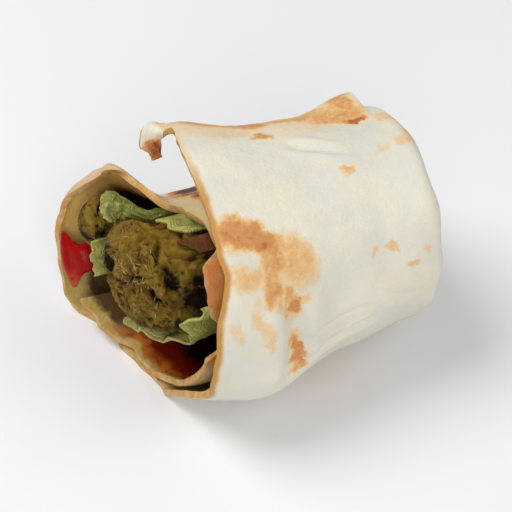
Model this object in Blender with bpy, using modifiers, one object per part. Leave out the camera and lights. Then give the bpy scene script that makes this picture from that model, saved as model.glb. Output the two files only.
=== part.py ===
"""Chicken tikka roll: one half of a rolled flatbread sandwich, cut on the slant.

Metres, +Z up.  The roll lies along X on its underside, with the cut mouth towards -X and the
tucked end towards +X.  The origin is at the bottom centre of the whole piece.
"""

import math

import bmesh
import bpy
from mathutils import Vector, noise

MM = 0.001

# Driving dimensions, in millimetres and degrees unless a name says otherwise.
# Pairs of sizes are along Y and along Z.  Turn angles run round the bread: 0 is the back, 90 the
# top, 180 the front and 270 the underside, and from 360 on comes the second turn.
BREAD_THICK = 1.8
AXIS_HEIGHT = 32.0  # of the roll's axis above the surface it lies on
MID_HALF = (38.0, 32.5)  # half width and half height of the outer turn, half way along
MOUTH_HALF = (43.0, 40.0)  # of the outer turn, where it gapes at the mouth
END_HALF = (35.5, 31.0)  # of the outer turn, where the tucked end begins
CORE_HALF = (34.2, 29.0)  # of the second turn, snug round the filling
TURN_START, TURN_END = 50.0, 665.0  # the bread runs from its loose outer edge to its inner edge
TUCK_START, TUCK_DEPTH = 14.5, 8.8  # where the end starts to round off, and over what length

# The slanted cut: turn angle, and how far along X the mouth's edge lies there.
CUT_EDGE = (
    (50, -75.0), (95, -77.5), (140, -78.5), (165, -84.0), (190, -87.0), (245, -93.5), (280, -100.0),
    (315, -110.5), (345, -110.0), (365, -108.0), (393, -97.0), (410, -88.0), (450, -80.0), (470, -76.5),
    (484, -76.0), (494, -81.5), (518, -82.5), (530, -79.5), (541, -79.5), (553, -85.0), (585, -90.0),
    (625, -97.0), (650, -105.0), (665, -108.0),
)


def smooth_step(low, high, value):
    """0 below low, 1 above high, easing between."""
    share = min(1.0, max(0.0, (value - low) / (high - low)))
    return share * share * (3.0 - 2.0 * share)


def along(points, value):
    """The eased value between the two stated points round value."""
    if value <= points[0][0]:
        return points[0][1]
    for (x0, y0), (x1, y1) in zip(points, points[1:]):
        if value <= x1:
            return y0 + (y1 - y0) * smooth_step(x0, x1, value)
    return points[-1][1]


def bump(value, middle, half):
    """1 at the middle, 0 further away than half."""
    return smooth_step(half, 0.0, abs(value - middle))


# ---------------------------------------------------------------- flatbread

BREAD_COLUMNS, BREAD_ROWS, TUCK_ROWS = 72, 18, 7
EDGE_COLUMNS, EDGE_STEP = 4, 3.4  # narrow columns along the loose edge, and their width in degrees
ROW_POWER = 1.35  # above 1, the rows are closer together towards the mouth

# Stretches of X, each from where a change begins to where it is whole.
GAPE_X, TAPER_X = (-42.0, -84.0), (-50.0, -TUCK_START)
INWARD = (290.0, 405.0)  # turn angles over which the bread passes under its outer turn
CORE_TAPER, CORE_SHRINK = 0.07, 2.0  # the second turn's share lost at the end, and spiral
PINCH, PINCH_ANGLE, PINCH_SPREAD = 11.5, 402.0, 84.0  # squeezed in behind its flared mouth
PINCH_FROM_MOUTH, PINCH_FROM_END = (-97.0, -77.0), (-40.0, -62.0)
FLARE, FLARE_ANGLE, FLARE_SPREAD, FLARE_X = 6.5, 420.0, 95.0, (-80.0, -93.0)
SLACK, SLACK_ANGLE, SLACK_SPREAD, SLACK_X = 5.0, 600.0, 95.0, (-60.0, -85.0)
BELLY, BELLY_ANGLE, BELLY_SPREAD = 4.0, 200.0, 60.0  # the slack outer turn sags at the front
BELLY_X, BELLY_REACH = -70.0, 30.0
# Below the sag, the outer turn is pressed in towards the mouth.
CORNER, CORNER_ANGLE, CORNER_SPREAD, CORNER_X = 4.5, 224.0, 42.0, (-62.0, -84.0)
RIDGE, RIDGE_SPREAD = 5.2, 24.0  # the loose edge stands up along a short stretch
RIDGE_RISE, RIDGE_FALL = (-38.0, -18.5), (-14.8, -17.4)
LIFT, LIFT_SPREAD, LIFT_X = 2.4, 34.0, (-52.0, -74.0)  # it stands off at the mouth too
# The cut rim rolls inwards over this length: how far it turns at the back, and all round.
CURL_LENGTH, CURL_TURN, CURL_ELSEWHERE = 7.6, 78.0, 16.0
CURL_ANGLE, CURL_SPREAD = 396.0, 78.0

TUCK_POWER, TUCK_PACE = 0.62, 1.5  # below 1 squares the rounded end; above 1 crowds its rim
TUCK_TURNS = (466.0, 414.0)  # the turns inside these angles end straight, uncovered by the tuck
HOLE_SHARE, HOLE_AT_EDGE = 0.16, 0.26  # of the end's radius, left open where the pleats meet
TURN_GAP = 2.9  # the second turn tucks this far inside the first
STRAIGHT_SHORT, STRAIGHT_ANGLES = 8.0, (424.0, 462.0)  # the innermost turn stops short
EDGE_LEAN = 1.5  # the tucked end leans back from its loose edge
INNER_LIFT = 3.0  # the second turn's underside stays this far above the surface
PLEATS, PLEAT_SWAY, PLEAT_DEPTH = 9.0, 0.8, 3.2


def bread_half_axes(angle, x):
    """Half width and half height of the bread's outer face at a turn angle and a place on X."""
    pinch = PINCH * bump(angle, PINCH_ANGLE, PINCH_SPREAD)
    pinch *= smooth_step(*PINCH_FROM_MOUTH, x) * smooth_step(*PINCH_FROM_END, x)
    flare = FLARE * bump(angle, FLARE_ANGLE, FLARE_SPREAD) * smooth_step(*FLARE_X, x)
    slack = SLACK * bump(angle, SLACK_ANGLE, SLACK_SPREAD) * smooth_step(*SLACK_X, x)
    belly = BELLY * bump(angle, BELLY_ANGLE, BELLY_SPREAD) * bump(x, BELLY_X, BELLY_REACH)
    belly -= CORNER * bump(angle, CORNER_ANGLE, CORNER_SPREAD) * smooth_step(*CORNER_X, x)
    ridge = RIDGE * smooth_step(TURN_START + RIDGE_SPREAD, TURN_START, angle)
    ridge *= smooth_step(*RIDGE_RISE, x) * smooth_step(*RIDGE_FALL, x)
    ridge += LIFT * smooth_step(TURN_START + LIFT_SPREAD, TURN_START, angle) * smooth_step(*LIFT_X, x)
    shrink = CORE_SHRINK * smooth_step(INWARD[1], TURN_END, angle)
    change = belly + ridge + slack + flare - pinch - shrink
    gape, taper = smooth_step(*GAPE_X, x), smooth_step(*TAPER_X, x)
    inward = smooth_step(*INWARD, angle)
    sizes = []
    for middle, mouth, end, core in zip(MID_HALF, MOUTH_HALF, END_HALF, CORE_HALF):
        outer = middle + gape * (mouth - middle) + taper * (end - middle)
        inner = core * (1.0 - CORE_TAPER * taper)
        sizes.append(outer + inward * (inner - outer) + change)
    return sizes


def tucked_place(angle, part, wall_end, drop):
    """Place on X and share of the radius where the end folds in, at part of the way from 0 to 1."""
    hole = HOLE_SHARE + HOLE_AT_EDGE * smooth_step(TURN_START + 80.0, TURN_START, angle)
    sweep = math.acos(hole ** (1.0 / TUCK_POWER)) * (1.0 - (1.0 - part) ** TUCK_PACE)
    share = math.cos(sweep) ** TUCK_POWER
    tucked_x = wall_end + TUCK_DEPTH * math.sin(sweep) ** TUCK_POWER
    tucked_x += drop * smooth_step(0.6, 0.12, share)
    straight_x = wall_end + TUCK_DEPTH * 0.8 * part
    closing = smooth_step(*TUCK_TURNS, angle)
    return straight_x + closing * (tucked_x - straight_x), 1.0 + closing * (share - 1.0)


def rolled_in(angle, from_cut):
    """Where the rim curls: how much nearer to the end of the roll, and to its axis, a spot is."""
    if from_cut >= CURL_LENGTH:
        return 0.0, 0.0
    most = CURL_ELSEWHERE + (CURL_TURN - CURL_ELSEWHERE) * bump(angle, CURL_ANGLE, CURL_SPREAD)
    radius = CURL_LENGTH / math.radians(most)
    turned = (CURL_LENGTH - from_cut) / radius
    return CURL_LENGTH - from_cut - radius * math.sin(turned), radius * (1.0 - math.cos(turned))


def bread_point(angle, row):
    """A point on the bread's outer face: its turn angle, and row from 0 at the mouth to 1."""
    drop = TURN_GAP * smooth_step(320.0, 400.0, angle)
    lean = EDGE_LEAN * (math.cos(math.radians(angle - TURN_START)) - 1.0)
    wall_end = lean - TUCK_START - drop - STRAIGHT_SHORT * smooth_step(*STRAIGHT_ANGLES, angle)
    mouth = along(CUT_EDGE, angle)
    tuck_from = 1.0 - TUCK_ROWS / BREAD_ROWS
    x, share = mouth + (wall_end - mouth) * min(1.0, row / tuck_from) ** ROW_POWER, 1.0
    if row > tuck_from:
        x, share = tucked_place(angle, (row - tuck_from) / (1.0 - tuck_from), wall_end, drop)
    width, height = bread_half_axes(angle, x)
    ahead, inward = rolled_in(angle, x - mouth)
    x, width, height = x + ahead, width - inward, height - inward
    turn = math.radians(angle)
    y = width * share * math.cos(turn)
    floor = INNER_LIFT * smooth_step(330.0, 420.0, angle) - AXIS_HEIGHT
    z = max(height * share * math.sin(turn), floor * max(share, 0.2))
    pleat = PLEAT_DEPTH * math.sin(turn * PLEATS + PLEAT_SWAY * math.sin(turn * 2.0))
    pleat *= share * (1.0 - share) * smooth_step(0.1, 0.4, share) * smooth_step(*TUCK_TURNS, angle)
    return Vector((x + pleat, y, z + AXIS_HEIGHT))


# The torn tongue at the loose edge's mouth corner: it runs on past the mouth and hangs down.
TONGUE_STEPS, TONGUE_LENGTH, TONGUE_AHEAD, TONGUE_TURN_RADIUS = 8, 13.5, 2.2, 3.8
TONGUE_ROOT, TONGUE_WIDE, TONGUE_TIP = 7.6, 6.2, 2.6  # its widths
TONGUE_COLUMNS = 3  # grid columns across it
HANGING = Vector((0.0, -0.51, -0.86))  # the way its end hangs


def tongue_point(share, across):
    """A point on the tongue: share of its length, and across from -0.5 to 0.5 of its width."""
    run = TONGUE_LENGTH * share
    ahead = min(run, TONGUE_AHEAD)
    turn = min((run - ahead) / TONGUE_TURN_RADIUS, math.radians(100.0))
    beyond = run - ahead - turn * TONGUE_TURN_RADIUS
    ahead += TONGUE_TURN_RADIUS * math.sin(turn) + beyond * math.cos(turn)
    aside = TONGUE_TURN_RADIUS * (1.0 - math.cos(turn)) + beyond * math.sin(turn)
    outward = Vector((-1.0, 0.0, 0.0))
    root = bread_point(TURN_START + EDGE_STEP * TONGUE_COLUMNS / 2.0, 0.0)
    root_across = (bread_point(TURN_START + EDGE_STEP * TONGUE_COLUMNS, 0.0) - root).normalized()
    hooked = HANGING * math.cos(turn) - outward * math.sin(turn)
    sideways = root_across.lerp(hooked, smooth_step(0.08, 0.5, share)).normalized()
    width = TONGUE_ROOT + (TONGUE_WIDE - TONGUE_ROOT) * smooth_step(0.0, 0.5, share)
    width += (TONGUE_TIP - TONGUE_WIDE) * smooth_step(0.6, 1.0, share)
    return root + outward * ahead + HANGING * aside + sideways * (across * width)


def column_angle(column):
    """Turn angle of a grid column: narrow columns along the loose edge, even ones after."""
    narrow = EDGE_COLUMNS * EDGE_STEP
    if column <= EDGE_COLUMNS:
        return TURN_START + column * EDGE_STEP
    rest = (column - EDGE_COLUMNS) / (BREAD_COLUMNS - EDGE_COLUMNS)
    return TURN_START + narrow + rest * (TURN_END - TURN_START - narrow)


def build_flatbread():
    """The bread: a sheet rolled nearly two turns, torn at its loose corner, then thickened."""
    sheet = bmesh.new()
    bmesh.ops.create_grid(sheet, x_segments=BREAD_COLUMNS, y_segments=BREAD_ROWS, size=0.5)
    columns = {}
    for vertex in sheet.verts:
        column = round((vertex.co.x + 0.5) * BREAD_COLUMNS)
        row = round((vertex.co.y + 0.5) * BREAD_ROWS)
        if row == 0:
            columns[vertex] = column
        vertex.co = bread_point(column_angle(column), row / BREAD_ROWS)
    root = {vertex: column for vertex, column in columns.items() if column <= TONGUE_COLUMNS}
    edges = [edge for edge in sheet.edges if all(vertex in root for vertex in edge.verts)]
    for step in range(1, TONGUE_STEPS + 1):
        made = bmesh.ops.extrude_edge_only(sheet, edges=edges)["geom"]
        edges = [item for item in made if isinstance(item, bmesh.types.BMEdge)]
        edges = [edge for edge in edges if len(edge.link_faces) == 1]
        new_root = {}
        for vertex in {item for item in made if isinstance(item, bmesh.types.BMVert)}:
            column = root[min(root, key=lambda old: (old.co - vertex.co).length)]
            new_root[vertex] = column
        for vertex, column in new_root.items():
            across = column / TONGUE_COLUMNS - 0.5
            vertex.co = tongue_point(step / TONGUE_STEPS, across)
        edges = [edge for edge in edges if all(vertex in new_root for vertex in edge.verts)]
        root = new_root
    bmesh.ops.scale(sheet, vec=(MM, MM, MM), verts=sheet.verts)
    bread = add_object("flatbread", sheet, (0.80, 0.70, 0.52), 0.75)
    shell = bread.modifiers.new("Thickness", "SOLIDIFY")
    shell.thickness = BREAD_THICK * MM
    shell.offset = -1.0
    shell.use_even_offset = False
    return bread


# ---------------------------------------------------------------- fillings

MOUTH_X, NECK_X = (-97.0, -86.0), (-62.0, -46.0)  # mouth to neck, and neck to inside
CHUNK_END, LEAF_END = -12.0, -22.0
NOSE_TRAVEL = 0.5  # share of a lump's rings that shape its rounded end at the mouth
LUMP_SPREAD, LUMP_GRAIN = 14.0, 11.0  # radius and size at which a lump's unevenness is read
BACK_POWER = 8.0  # how squarely a lump closes at its hidden end
FRILL_FADE = 4.0  # how soon a leaf's frill dies away behind its cut edge
FRILL_SLIP, FRILL_TIP = 3.0, 0.6  # the frill leans along the leaf, and scallops its cut edge
CHUNK_Y, CHUNK_Z = -3.5, 5.3  # the large piece of chicken's centre at the mouth, from the roll's axis
DEEP_Y, DEEP_Z = -5.5, 0.5  # and deep inside, where it fills the bread
GREEN = (0.36, 0.46, 0.14)


def section_at(sections, x, mouth_x=MOUTH_X):
    """The section numbers at a place on X, eased between the mouth, the neck and the inside."""
    mouth, neck, deep = sections
    first, second = smooth_step(*mouth_x, x), smooth_step(*NECK_X, x)
    return [a + (b - a) * first + (c - b) * second for a, b, c in zip(mouth, neck, deep)]


def build_lump(name, sections, front, back, nose, lump, seed, rings, colour, mouth_x=MOUTH_X):
    """A lumpy piece of meat or tomato that runs along X, rounded at the mouth.

    Each section holds the centre's y and z from the roll's axis, the half width, the half
    height and the tilt in degrees: at the mouth, at the squeezed neck and deep inside.
    """
    mesh_tool = bmesh.new()
    bmesh.ops.create_uvsphere(mesh_tool, u_segments=rings + 6, v_segments=rings, radius=1.0)
    offset = Vector((seed, seed * 0.7, -seed))
    for vertex in mesh_tool.verts:
        travel = math.acos(max(-1.0, min(1.0, vertex.co.z))) / math.pi
        around = Vector((vertex.co.y, vertex.co.x))
        around = around.normalized() if around.length > 1e-6 else around
        if travel < NOSE_TRAVEL:
            turn = travel / NOSE_TRAVEL * math.pi / 2.0
            x, share = front + nose * (1.0 - math.cos(turn)), math.sin(turn)
        else:
            body = (travel - NOSE_TRAVEL) / (1.0 - NOSE_TRAVEL)
            x = front + nose + (back - front - nose) * body
            share = math.sqrt(max(0.0, 1.0 - body ** BACK_POWER))
        y0, z0, half_width, half_height, tilt = section_at(sections, x, mouth_x)
        place = Vector((x, around.x * LUMP_SPREAD, around.y * LUMP_SPREAD)) / LUMP_GRAIN + offset
        swell = share * (1.0 + lump * noise.noise(place))
        out = Vector((around.x * half_width, around.y * half_height)) * swell
        turn = math.radians(tilt)
        y = y0 + out.x * math.cos(turn) - out.y * math.sin(turn)
        z = z0 + out.x * math.sin(turn) + out.y * math.cos(turn)
        vertex.co = Vector((x, y, z + AXIS_HEIGHT)) * MM
    return add_object(name, mesh_tool, colour, 0.6)


def build_leaf(name, sections, front, frill, waves, thickness, segments, colour):
    """A leaf or strip that runs along X from its cut edge; frilled there, flat further in.

    Each section is an arc: its centre's y and z, its radius along y and along z, and its first
    and last angle.  front holds the cut edge's x at shares of the way along the arc.
    """
    mesh_tool = bmesh.new()
    bmesh.ops.create_grid(mesh_tool, x_segments=segments[0], y_segments=segments[1], size=0.5)
    for vertex in mesh_tool.verts:
        u, v = vertex.co.x + 0.5, vertex.co.y + 0.5
        edge = along(front, u)
        depth = v ** 1.5
        x = edge + (LEAF_END - edge) * depth
        y0, z0, radius_y, radius_z, start, end = section_at(sections, x)
        turn = math.radians(start + (end - start) * u)
        wave = frill * (1.0 - depth) ** FRILL_FADE
        wave *= math.sin(u * waves * 2.0 * math.pi + depth * FRILL_SLIP)
        y = y0 + (radius_y + wave) * math.cos(turn)
        z = z0 + (radius_z + wave) * math.sin(turn)
        vertex.co = Vector((x + FRILL_TIP * wave, y, z + AXIS_HEIGHT)) * MM
    leaf = add_object(name, mesh_tool, colour, 0.5)
    body = leaf.modifiers.new("Thickness", "SOLIDIFY")
    body.thickness = thickness * MM
    body.offset = 0.0
    body.use_even_offset = False
    return leaf


def build_fillings():
    """Two pieces of chicken, a tomato wedge, a wad of lettuce, an onion strip and three leaves."""
    y, z = CHUNK_Y, CHUNK_Z
    deep_y, deep_z = DEEP_Y, DEEP_Z
    build_lump("chicken_chunk",
               ((y + 0.5, z, 17.2, 15.6, 0.0), (y - 2.4, z - 3.0, 15.2, 14.4, 0.0),
                (deep_y, deep_z, 19.8, 18.6, 0.0)),
               -102.5, CHUNK_END, 11.0, 0.10, 3.0, 20, (0.16, 0.12, 0.03))
    build_lump("chicken_side",
               ((25.0, 1.5, 6.0, 8.0, 0.0), (16.4, -2.0, 3.6, 5.4, 0.0), (23.6, 1.5, 5.0, 9.6, 0.0)),
               -104.0, LEAF_END, 6.0, 0.14, 8.0, 12, (0.17, 0.15, 0.05))
    build_lump("tomato",
               ((29.2, -13.6, 2.7, 9.4, -27.0), (25.5, -12.0, 2.0, 4.5, -33.0),
                (22.0, -14.5, 3.4, 6.0, -33.0)),
               -109.8, LEAF_END, 3.2, 0.05, 5.0, 12, (0.60, 0.05, 0.02), (-108.0, -103.0))
    build_lump("lettuce_crown",
               ((16.2, 14.4, 5.0, 5.4, 20.0), (9.6, 13.2, 1.5, 1.8, 30.0), (8.0, 20.5, 3.2, 1.6, -38.0)),
               -99.0, LEAF_END, 5.0, 0.16, 1.0, 12, GREEN)
    build_leaf("lettuce_fold",
               ((y, z, 18.0, 16.8, 70.0, 90.0), (y, z - 1.4, 16.2, 15.4, 70.0, 100.0),
                (deep_y, deep_z, 22.6, 21.4, 74.0, 106.0)),
               ((0.0, -87.0), (0.5, -85.0), (1.0, -80.0)), 0.5, 1.0, 0.9, (7, 6), GREEN)
    build_leaf("onion_strip",
               ((y, z, 17.2, 15.9, 98.0, 105.0), (y, z - 1.4, 16.4, 15.6, 108.0, 126.0),
                (deep_y, deep_z, 22.4, 21.2, 114.0, 138.0)),
               ((0.0, -84.0), (1.0, -79.0)), 0.3, 1.0, 1.3, (5, 6), (0.26, 0.08, 0.06))
    build_leaf("lettuce_sliver",
               ((y, z, 20.6, 20.0, 320.0, 350.0), (y, z, 17.2, 17.2, 312.0, 326.0),
                (deep_y, deep_z, 24.0, 22.8, 314.0, 330.0)),
               ((0.0, -104.0), (1.0, -103.0)), 0.6, 1.2, 1.0, (6, 6), GREEN)
    build_leaf("lettuce_bed",
               ((y, z - 0.6, 20.4, 20.2, 176.0, 292.0), (y - 1.0, z - 1.4, 20.0, 19.8, 172.0, 302.0),
                (deep_y, deep_z, 22.6, 21.4, 172.0, 302.0)),
               ((0.0, -83.0), (0.15, -88.0), (0.32, -84.0), (0.5, -89.5), (0.66, -95.0), (0.85, -101.0),
                (1.0, -103.0)), 1.4, 5.5, 1.2, (20, 7), GREEN)


# ---------------------------------------------------------------- scene

COLLECTION = "chicken_tikka_roll"
# From the tucked end's lowest point to the bottom centre of the whole piece, in millimetres.
CENTRE_X, CENTRE_Y = -57.8, -3.0


def add_object(name, mesh_tool, colour, roughness):
    """Makes the object of a finished shape, with its own material, in the roll's collection."""
    bmesh.ops.translate(mesh_tool, vec=(-CENTRE_X * MM, -CENTRE_Y * MM, 0.0), verts=mesh_tool.verts)
    mesh = bpy.data.meshes.new(name)
    mesh_tool.to_mesh(mesh)
    mesh_tool.free()
    mesh.shade_smooth()
    material = bpy.data.materials.new(name)
    material.use_nodes = True
    surface = material.node_tree.nodes["Principled BSDF"]
    surface.inputs["Base Color"].default_value = (*colour, 1.0)
    surface.inputs["Roughness"].default_value = roughness
    mesh.materials.append(material)
    piece = bpy.data.objects.new(name, mesh)
    bpy.data.collections[COLLECTION].objects.link(piece)
    return piece


for old in list(bpy.data.objects):
    bpy.data.objects.remove(old)
roll = bpy.data.collections.new(COLLECTION)
bpy.context.scene.collection.children.link(roll)
build_flatbread()
build_fillings()
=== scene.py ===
"""Looks of a chicken tikka roll: half of a rolled flatbread sandwich, cut on the slant.

The roll lies along X with its cut mouth towards -X.  Sizes in this file are in millimetres and
degrees, measured from the roll's axis, until a finished mesh is scaled and set in its place.
"""

import math
import random

import bmesh
import bpy
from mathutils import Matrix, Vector, noise


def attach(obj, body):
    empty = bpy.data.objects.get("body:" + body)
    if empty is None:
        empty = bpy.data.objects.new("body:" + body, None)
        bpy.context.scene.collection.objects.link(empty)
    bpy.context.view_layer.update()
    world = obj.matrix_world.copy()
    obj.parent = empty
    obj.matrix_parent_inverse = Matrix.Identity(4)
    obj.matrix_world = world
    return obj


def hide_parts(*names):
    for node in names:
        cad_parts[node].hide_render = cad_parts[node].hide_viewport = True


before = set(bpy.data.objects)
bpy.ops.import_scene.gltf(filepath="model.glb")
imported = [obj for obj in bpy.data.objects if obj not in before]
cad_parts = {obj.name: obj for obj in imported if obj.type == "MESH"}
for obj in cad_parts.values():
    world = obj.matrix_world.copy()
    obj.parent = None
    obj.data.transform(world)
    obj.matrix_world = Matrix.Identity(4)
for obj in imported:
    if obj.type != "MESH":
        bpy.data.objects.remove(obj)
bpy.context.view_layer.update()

# ---------------------------------------------------------------- the table, lamps and camera
# The roll lies on a plain pale table top in an evenly lit room: a broad soft lamp hangs behind
# its left shoulder, a weaker one stands at the right, and white walls fill in the rest.

MM = 0.001
LOOK_AT = Vector((0.2, 2.0, 29.3)) * MM
CAMERA_TURN, CAMERA_TILT, CAMERA_DISTANCE = 20.5, 44.2, 0.486
LENS = 115.0
TABLE_SIZE, TABLE_COLOUR = 3.0, (0.80, 0.80, 0.81)
LAMPS = (
    # name, turn round the roll, height above it, distance, size, watts
    ("lamp_over_left_shoulder", -125.0, 58.0, 1.1, 0.75, 8.2),
    ("lamp_at_right", 60.0, 38.0, 1.3, 0.9, 3.4),
    ("lamp_before", -15.0, 30.0, 1.4, 0.9, 7.6),
)
WALL_COLOUR, WALL_GLOW = (0.97, 0.98, 1.0), 0.36


def plug(tree, socket, value):
    """Links an input to an output, or sets it to a plain value."""
    if isinstance(value, bpy.types.NodeSocket):
        tree.links.new(value, socket)
    else:
        socket.default_value = (*value, 1.0) if socket.type == "RGBA" else value


def add_node(tree, kind, inputs=(), **settings):
    """A shader node with its settings, and its inputs set to values or linked to outputs."""
    node = tree.nodes.new("ShaderNode" + kind)
    for name, value in settings.items():
        setattr(node, name, value)
    for socket, value in dict(inputs).items():
        plug(tree, node.inputs[socket], value)
    return node


def around(turn, height, distance):
    """A place round the roll: 0 degrees is in front of it, towards -Y, and 90 is at +X."""
    turn, height = math.radians(turn), math.radians(height)
    level = Vector((math.sin(turn), -math.cos(turn), 0.0)) * math.cos(height)
    return LOOK_AT + (level + Vector((0.0, 0.0, math.sin(height)))) * distance


def aim(thing, place):
    """Puts a lamp or the camera at a place, turned to face the roll."""
    thing.location = place
    thing.rotation_euler = (LOOK_AT - place).to_track_quat("-Z", "Y").to_euler()


camera = bpy.data.objects.new("camera", bpy.data.cameras.new("camera"))
camera.data.lens = LENS
camera.data.clip_start = 0.01
bpy.context.scene.collection.objects.link(camera)
bpy.context.scene.camera = camera
aim(camera, around(-CAMERA_TURN, CAMERA_TILT, CAMERA_DISTANCE))

for name, turn, height, distance, size, watts in LAMPS:
    lamp = bpy.data.objects.new(name, bpy.data.lights.new(name, "AREA"))
    lamp.data.shape = "DISK"
    lamp.data.size = size
    lamp.data.energy = watts
    bpy.context.scene.collection.objects.link(lamp)
    aim(lamp, around(turn, height, distance))

room = bpy.data.worlds.new("room")
bpy.context.scene.world = room
room.use_nodes = True
plug(room.node_tree, room.node_tree.nodes["Background"].inputs["Color"], WALL_COLOUR)
plug(room.node_tree, room.node_tree.nodes["Background"].inputs["Strength"], WALL_GLOW)
bpy.context.scene.view_settings.view_transform = "Standard"

table_mesh = bmesh.new()
bmesh.ops.create_grid(table_mesh, x_segments=1, y_segments=1, size=TABLE_SIZE / 2.0)
table = bpy.data.objects.new("table", bpy.data.meshes.new("table"))
table_mesh.to_mesh(table.data)
table_mesh.free()
bpy.context.scene.collection.objects.link(table)
table_finish = bpy.data.materials.new("table")
table_finish.use_nodes = True
table_surface = table_finish.node_tree.nodes["Principled BSDF"]
table_surface.inputs["Base Color"].default_value = (*TABLE_COLOUR, 1.0)
table_surface.inputs["Roughness"].default_value = 0.55
table.data.materials.append(table_finish)

# ---------------------------------------------------------------- the flatbread
# One thin griddled flatbread, about 25 cm across, is rolled nearly twice round the filling.
# Its outer turn hangs slack at the cut, its second turn is squeezed in behind the mouth, and
# the far end is folded in.

BREAD_THICK, BREAD_THIN_SHARE = 3.3, 0.5  # at its thickest, and the thinnest place's share
THICK_WEIGHTS = (0.18, 0.12, 0.8)  # everywhere, more or less from place to place, and at the rim
THICK_ANGLE, THICK_SPREAD, THICK_REACH = 462.0, 42.0, (12.0, 4.0)  # where the rim is thickest
EDGE_ROUND, SHARP_EDGE = 0.5, 55.0  # radius at edges that turn by more than so many degrees
AXIS_HEIGHT = 32.0  # of the roll's axis above the table
MID_HALF = (38.0, 32.5)  # half width and half height of the outer turn, half way along
MOUTH_HALF = (43.0, 40.0)  # of the outer turn, where it gapes at the mouth
END_HALF = (35.5, 31.0)  # of the outer turn, where the tucked end begins
CORE_HALF = (34.2, 29.0)  # of the second turn, snug round the filling
TURN_START, TURN_END = 50.0, 665.0  # from the loose outer edge to the inner edge
TUCK_DEPTH, TUCK_START = 8.8, 14.5
CENTRE = Vector((-57.8, -3.0, 0.0))  # from the tucked end to the middle of the whole roll

# The slanted cut: turn angle, and how far along X the mouth's edge lies there.
# 0 degrees is the back, 90 the top, 180 the front, 270 the underside; then the second turn.
CUT_EDGE = (
    (50, -75.0), (95, -77.5), (140, -78.5), (165, -84.0), (190, -87.0), (245, -93.5), (280, -100.0),
    (315, -110.5), (345, -110.0), (365, -108.0), (393, -97.0), (410, -88.0), (450, -80.0), (470, -76.5),
    (484, -76.0), (494, -81.5), (518, -82.5), (530, -79.5), (541, -79.5), (553, -85.0), (585, -90.0),
    (625, -97.0), (650, -105.0), (665, -108.0),
)
BREAD_COLUMNS, BREAD_ROWS, TUCK_ROWS = 330, 90, 34
EDGE_COLUMNS, EDGE_STEP = 16, 0.85  # narrow columns along the loose edge, and their width
ROW_POWER = 1.25  # crowds the rows towards the mouth
GAPE_X, TAPER_X = (-42.0, -84.0), (-50.0, -TUCK_START)  # from half way to the mouth, and to the end
INWARD = (290.0, 405.0)  # turn angles over which the bread passes under its outer turn
CORE_TAPER, CORE_SHRINK = 0.07, 2.0  # the second turn's share lost to the end, and to its inner edge
PINCH, PINCH_ANGLE, PINCH_SPREAD = 11.5, 402.0, 84.0  # the second turn squeezed in at the top
PINCH_FROM_MOUTH, PINCH_FROM_END = (-97.0, -77.0), (-40.0, -62.0)
BELLY, BELLY_ANGLE, BELLY_SPREAD = 4.0, 200.0, 60.0  # the front swells over the filling
BELLY_X, BELLY_REACH = -70.0, 30.0
BULGES = (
    # how far out, round which turn angle, how far from it, and along X from none to full
    (6.5, 420.0, 95.0, (-80.0, -93.0)),  # the second turn flares at the mouth
    (5.0, 600.0, 95.0, (-60.0, -85.0)),  # its bottom hangs slack there
    (-4.5, 224.0, 42.0, (-62.0, -84.0)),  # the outer turn's lower front edge is drawn in
    (-3.4, 186.0, 60.0, (-38.0, -17.0)),  # both turns slope down to the tucked end
    (-3.4, 546.0, 60.0, (-38.0, -17.0)),
)
CURL_ANGLE, CURL_SPREAD, CURL_TURN, CURL_LENGTH = 396.0, 78.0, 78.0, 7.6  # the rim rolls inwards
CURL_ELSEWHERE = 16.0  # degrees, away from that angle
RIDGE, RIDGE_SPREAD = 5.2, 24.0  # the loose edge folded up to a ridge near the tucked end
RIDGE_RISE, RIDGE_FALL = (-38.0, -18.5), (-14.8, -17.4)
LIFT, LIFT_SPREAD, LIFT_X = 2.4, 34.0, (-52.0, -74.0)  # the loose edge stands off at the mouth
TUCK_POWER, TUCK_PACE = 0.62, 1.5  # how squarely the end is folded in, and its rows' pace
TUCK_TURNS = (466.0, 414.0)  # past the first the sheet stays straight, before the second it folds in
HOLE_SHARE, HOLE_AT_EDGE = 0.16, 0.26  # of the radius, left open in the middle of the fold
TURN_GAP, GAP_TURNS = 2.9, (320.0, 400.0)  # between the turns in the tucked end
STRAIGHT_SHORT, STRAIGHT_ANGLES = 8.0, (424.0, 462.0)  # the second turn stops short of the end
EDGE_LEAN = 1.5  # the folded end leans by this much from the loose edge to the far side
INNER_LIFT, LIFT_TURNS = 3.0, (330.0, 420.0)  # the second turn lies off the table, on the outer one
INNER_CALM, CALM_TURNS = 0.6, (400.0, 420.0)  # how much smoother the second turn is
PLEATS, PLEAT_SWAY, PLEAT_DEPTH = 9.0, 0.8, 3.2  # folds round the tucked end, and how uneven they are

# Relief of the skin: broad waves, baked blisters and fine grain, each a size and a height.
WAVES, BLISTERS, GRAIN = (21.0, 1.1), (7.0, 0.40), (2.3, 0.07)
BLISTER_POWER = 1.3  # raises the large blisters above the small ones
INNER_RELIEF = 90.0  # gives the second turn a relief of its own
CUT_RAGGED = (5.0, 0.7)  # over this length the knife's edge wanders by this much
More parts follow.
